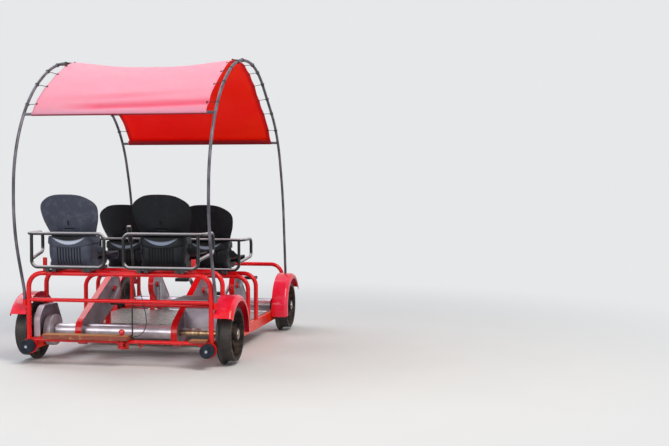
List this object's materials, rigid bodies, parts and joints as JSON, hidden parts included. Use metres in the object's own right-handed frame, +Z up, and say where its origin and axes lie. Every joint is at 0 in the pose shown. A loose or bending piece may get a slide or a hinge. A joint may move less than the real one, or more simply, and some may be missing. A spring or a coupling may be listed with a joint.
{
  "type": "pedal rail handcar",
  "caption": "Open railway handcar driven by pedals, with moulded seats in two rows, flanged spoked wheels, tube frame, mudguards, end buffers and an arched cloth canopy.",
  "frame": {"origin": "on the floor under the middle of the car, half way between the axles; the wheels stand on their flanges", "axes": "+Z up, +Y towards the front of the car, +X to the riders' right"},
  "size_m": [1.63, 2.5597, 2.2066],
  "materials": {
    "frame_red": "gloss red enamel, chipped",
    "guard_red": "gloss red enamel",
    "case_red": "gloss red enamel",
    "stainless": "brushed stainless sheet",
    "wheel_iron": "worn cast iron",
    "shaft_steel": "oily steel",
    "seat_black": "moulded charcoal plastic",
    "seat_grey": "moulded mid-grey plastic",
    "tube_black": "satin black powder coat",
    "canopy_tube": "grey coated tube",
    "canopy_cloth": "coated red canopy cloth",
    "buffer_rubber": "slate rubber",
    "floor_sheet": "worn tread plate",
    "plank_wood": "dark painted board",
    "pedal_plastic": "black moulded plastic",
    "crank_steel": "plated steel",
    "knob_red": "red moulded knob",
    "cable_black": "black cable sheath",
    "bearing_iron": "painted housing"
  },
  "bodies": {
    "chassis": {"armrest_front_left": "tube_black", "armrest_front_right": "tube_black", "armrest_rear_left": "tube_black", "armrest_rear_right": "tube_black", "axle_bearings": "bearing_iron", "axle_covers": "stainless", "brake_guard": "stainless", "brake_lever": "tube_black", "buffers": "buffer_rubber", "canopy": "canopy_cloth", "canopy_frame": "canopy_tube", "case_stands": "frame_red", "chain_case_front_left": "case_red", "chain_case_front_right": "case_red", "chain_case_plates": "stainless", "chain_case_rear_left": "case_red", "chain_case_rear_right": "case_red", "coupling_pin": "knob_red", "floor_plates": "floor_sheet", "front_drawbar": "frame_red", "front_frame": "frame_red", "front_seat_hoops": "frame_red", "mudguard_front_left": "guard_red", "mudguard_front_right": "guard_red", "mudguard_rear_left": "guard_red", "mudguard_rear_right": "guard_red", "rear_coupling": "frame_red", "rear_frame": "frame_red", "rear_panels": "stainless", "rear_plank": "plank_wood", "rear_seat_hoop": "frame_red", "release_cable": "cable_black", "release_rod": "tube_black", "seat_front_left": "seat_black", "seat_front_right": "seat_black", "seat_rails": "tube_black", "seat_rear_left": "seat_grey", "seat_rear_right": "seat_black", "side_beams": "frame_red"},
    "rear_wheelset": {"axle_rear": "shaft_steel", "brake_drum": "stainless", "wheels_rear": "wheel_iron"},
    "front_wheelset": {"axle_front": "shaft_steel", "wheels_front": "wheel_iron"},
    "crank_front_left": {"crank_front_left": "crank_steel", "pedals_front_left": "pedal_plastic"},
    "crank_front_right": {"crank_front_right": "crank_steel", "pedals_front_right": "pedal_plastic"},
    "crank_rear_left": {"crank_rear_left": "crank_steel", "pedals_rear_left": "pedal_plastic"},
    "crank_rear_right": {"crank_rear_right": "crank_steel", "pedals_rear_right": "pedal_plastic"}
  },
  "joints": [
    {"name": "rear_wheels_turn", "type": "hinge", "parent": "chassis", "child": "rear_wheelset", "pos_m": [0, -0.889, 0.215], "axis": [-1, 0, 0], "continuous": true},
    {"name": "front_wheels_turn", "type": "hinge", "parent": "chassis", "child": "front_wheelset", "pos_m": [0, 0.889, 0.215], "axis": [-1, 0, 0], "continuous": true},
    {"name": "pedals_rear_left_turn", "type": "hinge", "parent": "chassis", "child": "crank_rear_left", "pos_m": [-0.355, -0.329, 0.46], "axis": [-1, 0, 0], "continuous": true},
    {"name": "pedals_rear_right_turn", "type": "hinge", "parent": "chassis", "child": "crank_rear_right", "pos_m": [0.355, -0.329, 0.46], "axis": [-1, 0, 0], "continuous": true},
    {"name": "pedals_front_left_turn", "type": "hinge", "parent": "chassis", "child": "crank_front_left", "pos_m": [-0.355, 0.661, 0.4], "axis": [-1, 0, 0], "continuous": true},
    {"name": "pedals_front_right_turn", "type": "hinge", "parent": "chassis", "child": "crank_front_right", "pos_m": [0.355, 0.661, 0.4], "axis": [-1, 0, 0], "continuous": true}
  ]
}
